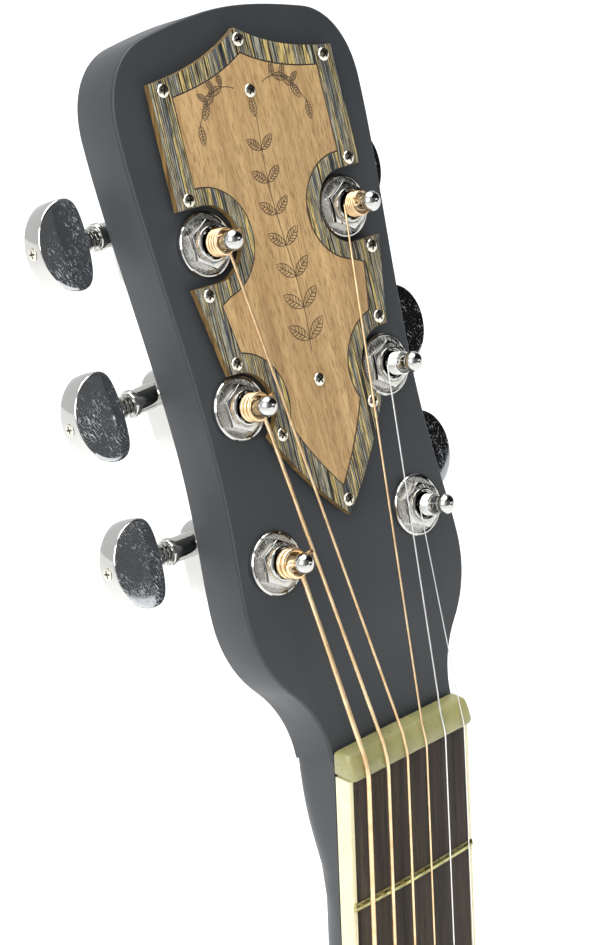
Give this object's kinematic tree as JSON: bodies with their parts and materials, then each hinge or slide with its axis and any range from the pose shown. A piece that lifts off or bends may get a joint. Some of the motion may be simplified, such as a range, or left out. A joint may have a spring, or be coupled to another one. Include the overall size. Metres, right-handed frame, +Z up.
{
  "type": "electro-acoustic guitar",
  "caption": "Steel-string guitar with a hollow cutaway body, tilted headstock with geared tuners, screwed-on wooden overlay, under-saddle pickup and side preamp.",
  "frame": {"origin": "on the centre line at the nut's front edge, level with the top of the fingerboard, where a wall hanger's fork holds the guitar up", "axes": "+Z up the neck towards the headstock, -Y out of the soundboard towards the player, -X the bass side"},
  "size_m": [0.397, 0.1352, 1.063],
  "materials": {
    "black_satin": "mahogany and spruce under a satin black lacquer",
    "cream_binding": "aged cream celluloid",
    "bone": "polished bone",
    "rosewood": "open-pored, oiled",
    "striped_wood": "laminated grey, dark and yellow veneers",
    "tan_wood": "fine-grained, satin",
    "spruce": "bare",
    "chrome": "polished, handled and scratched",
    "bronze_wound": "close-wound wire",
    "plain_steel": "drawn wire",
    "steel": "plain",
    "black_plastic": "fine moulded texture",
    "battery_jacket": "printed metal jacket, left plain"
  },
  "bodies": {
    "guitar": {"neck": "black_satin", "truss_rod": "steel", "fingerboard": "rosewood", "fingerboard_binding": "cream_binding", "nut": "bone", "overlay_border": "striped_wood", "overlay_panel": "tan_wood", "soundboard": "black_satin", "back": "black_satin", "rim": "black_satin", "front_binding": "cream_binding", "back_binding": "cream_binding", "neck_block": "spruce", "tail_block": "spruce", "x_brace": "spruce", "back_braces": "spruce", "bridge_plate": "spruce", "bridge": "rosewood", "saddle": "bone", "piezo_pickup": "steel", "pickguard": "black_plastic", "preamp_case": "black_plastic", "battery": "battery_jacket", "output_jack": "chrome", "strap_button": "chrome", "string_1": "plain_steel", "string_2": "plain_steel", "string_3": "bronze_wound", "string_4": "bronze_wound", "string_5": "bronze_wound", "string_6": "bronze_wound", "tuner_1_housing": "chrome", "tuner_1_bushing": "chrome", "tuner_2_housing": "chrome", "tuner_2_bushing": "chrome", "tuner_3_housing": "chrome", "tuner_3_bushing": "chrome", "tuner_4_housing": "chrome", "tuner_4_bushing": "chrome", "tuner_5_housing": "chrome", "tuner_5_bushing": "chrome", "tuner_6_housing": "chrome", "tuner_6_bushing": "chrome"},
    "tuner_1_button": {"tuner_1_button": "chrome"},
    "tuner_1_post": {"tuner_1_post": "chrome"},
    "tuner_2_button": {"tuner_2_button": "chrome"},
    "tuner_2_post": {"tuner_2_post": "chrome"},
    "tuner_3_button": {"tuner_3_button": "chrome"},
    "tuner_3_post": {"tuner_3_post": "chrome"},
    "tuner_4_button": {"tuner_4_button": "chrome"},
    "tuner_4_post": {"tuner_4_post": "chrome"},
    "tuner_5_button": {"tuner_5_button": "chrome"},
    "tuner_5_post": {"tuner_5_post": "chrome"},
    "tuner_6_button": {"tuner_6_button": "chrome"},
    "tuner_6_post": {"tuner_6_post": "chrome"},
    "volume_knob": {"volume_knob": "black_plastic"},
    "bass_knob": {"bass_knob": "black_plastic"},
    "treble_knob": {"treble_knob": "black_plastic"},
    "battery_door": {"battery_door": "black_plastic"},
    "truss_rod_nut": {"truss_rod_nut": "steel"}
  },
  "joints": [
    {"name": "tuner_1_turn", "type": "hinge", "parent": "guitar", "child": "tuner_1_button", "pos_m": [0.02434, 0.04231, 0.05692], "axis": [0.9994, 0.0094, 0.0336], "continuous": true},
    {"name": "tuner_1_wind", "type": "hinge", "parent": "guitar", "child": "tuner_1_post", "pos_m": [0.0246, 0.0199, 0.0555], "axis": [0, -0.9632, 0.2689], "continuous": true},
    {"name": "tuner_2_turn", "type": "hinge", "parent": "guitar", "child": "tuner_2_button", "pos_m": [0.02548, 0.05242, 0.09312], "axis": [0.9969, -0.0211, -0.0756], "continuous": true},
    {"name": "tuner_2_wind", "type": "hinge", "parent": "guitar", "child": "tuner_2_post", "pos_m": [0.0249, 0.03002, 0.09171], "axis": [0, -0.9632, 0.2689], "continuous": true},
    {"name": "tuner_3_turn", "type": "hinge", "parent": "guitar", "child": "tuner_3_button", "pos_m": [0.02302, 0.06369, 0.13349], "axis": [0.9997, 0.0066, 0.0235], "continuous": true},
    {"name": "tuner_3_wind", "type": "hinge", "parent": "guitar", "child": "tuner_3_post", "pos_m": [0.0232, 0.04128, 0.13207], "axis": [0, -0.9632, 0.2689], "continuous": true},
    {"name": "tuner_4_turn", "type": "hinge", "parent": "guitar", "child": "tuner_4_button", "pos_m": [-0.02275, 0.06377, 0.13378], "axis": [-1, 0.0019, 0.0067], "continuous": true},
    {"name": "tuner_4_wind", "type": "hinge", "parent": "guitar", "child": "tuner_4_post", "pos_m": [-0.0228, 0.04136, 0.13236], "axis": [0, -0.9632, 0.2689], "continuous": true},
    {"name": "tuner_5_turn", "type": "hinge", "parent": "guitar", "child": "tuner_5_button", "pos_m": [-0.02516, 0.05293, 0.09495], "axis": [-0.998, -0.0169, -0.0605], "continuous": true},
    {"name": "tuner_5_wind", "type": "hinge", "parent": "guitar", "child": "tuner_5_post", "pos_m": [-0.0247, 0.03053, 0.09354], "axis": [0, -0.9632, 0.2689], "continuous": true},
    {"name": "tuner_6_turn", "type": "hinge", "parent": "guitar", "child": "tuner_6_button", "pos_m": [-0.02503, 0.04234, 0.05702], "axis": [-0.9997, 0.0061, 0.0219], "continuous": true},
    {"name": "tuner_6_wind", "type": "hinge", "parent": "guitar", "child": "tuner_6_post", "pos_m": [-0.0252, 0.01993, 0.05559], "axis": [0, -0.9632, 0.2689], "continuous": true},
    {"name": "volume_turn", "type": "hinge", "parent": "guitar", "child": "volume_knob", "pos_m": [-0.15202, 0.0453, -0.49283], "axis": [-0.996, 0, -0.0899], "range_deg": [-150, 150]},
    {"name": "bass_turn", "type": "hinge", "parent": "guitar", "child": "bass_knob", "pos_m": [-0.15202, 0.0588, -0.49283], "axis": [-0.996, 0, -0.0899], "range_deg": [-150, 150]},
    {"name": "treble_turn", "type": "hinge", "parent": "guitar", "child": "treble_knob", "pos_m": [-0.15202, 0.0723, -0.49283], "axis": [-0.996, 0, -0.0899], "range_deg": [-150, 150]},
    {"name": "battery_door_open", "type": "hinge", "parent": "guitar", "child": "battery_door", "pos_m": [-0.14689, 0.0748, -0.53303], "axis": [0.0899, 0, -0.996], "range_deg": [0, 110]},
    {"name": "truss_rod_adjust", "type": "hinge", "parent": "guitar", "child": "truss_rod_nut", "pos_m": [0, 0.0155, -0.368], "axis": [0, 0, 1], "range_deg": [-180, 180]}
  ],
  "couplings": [
    {"joint": "tuner_1_wind", "follows": "tuner_1_turn", "ratio": 0.071429},
    {"joint": "tuner_2_wind", "follows": "tuner_2_turn", "ratio": 0.071429},
    {"joint": "tuner_3_wind", "follows": "tuner_3_turn", "ratio": 0.071429},
    {"joint": "tuner_4_wind", "follows": "tuner_4_turn", "ratio": -0.071429},
    {"joint": "tuner_5_wind", "follows": "tuner_5_turn", "ratio": -0.071429},
    {"joint": "tuner_6_wind", "follows": "tuner_6_turn", "ratio": -0.071429}
  ]
}
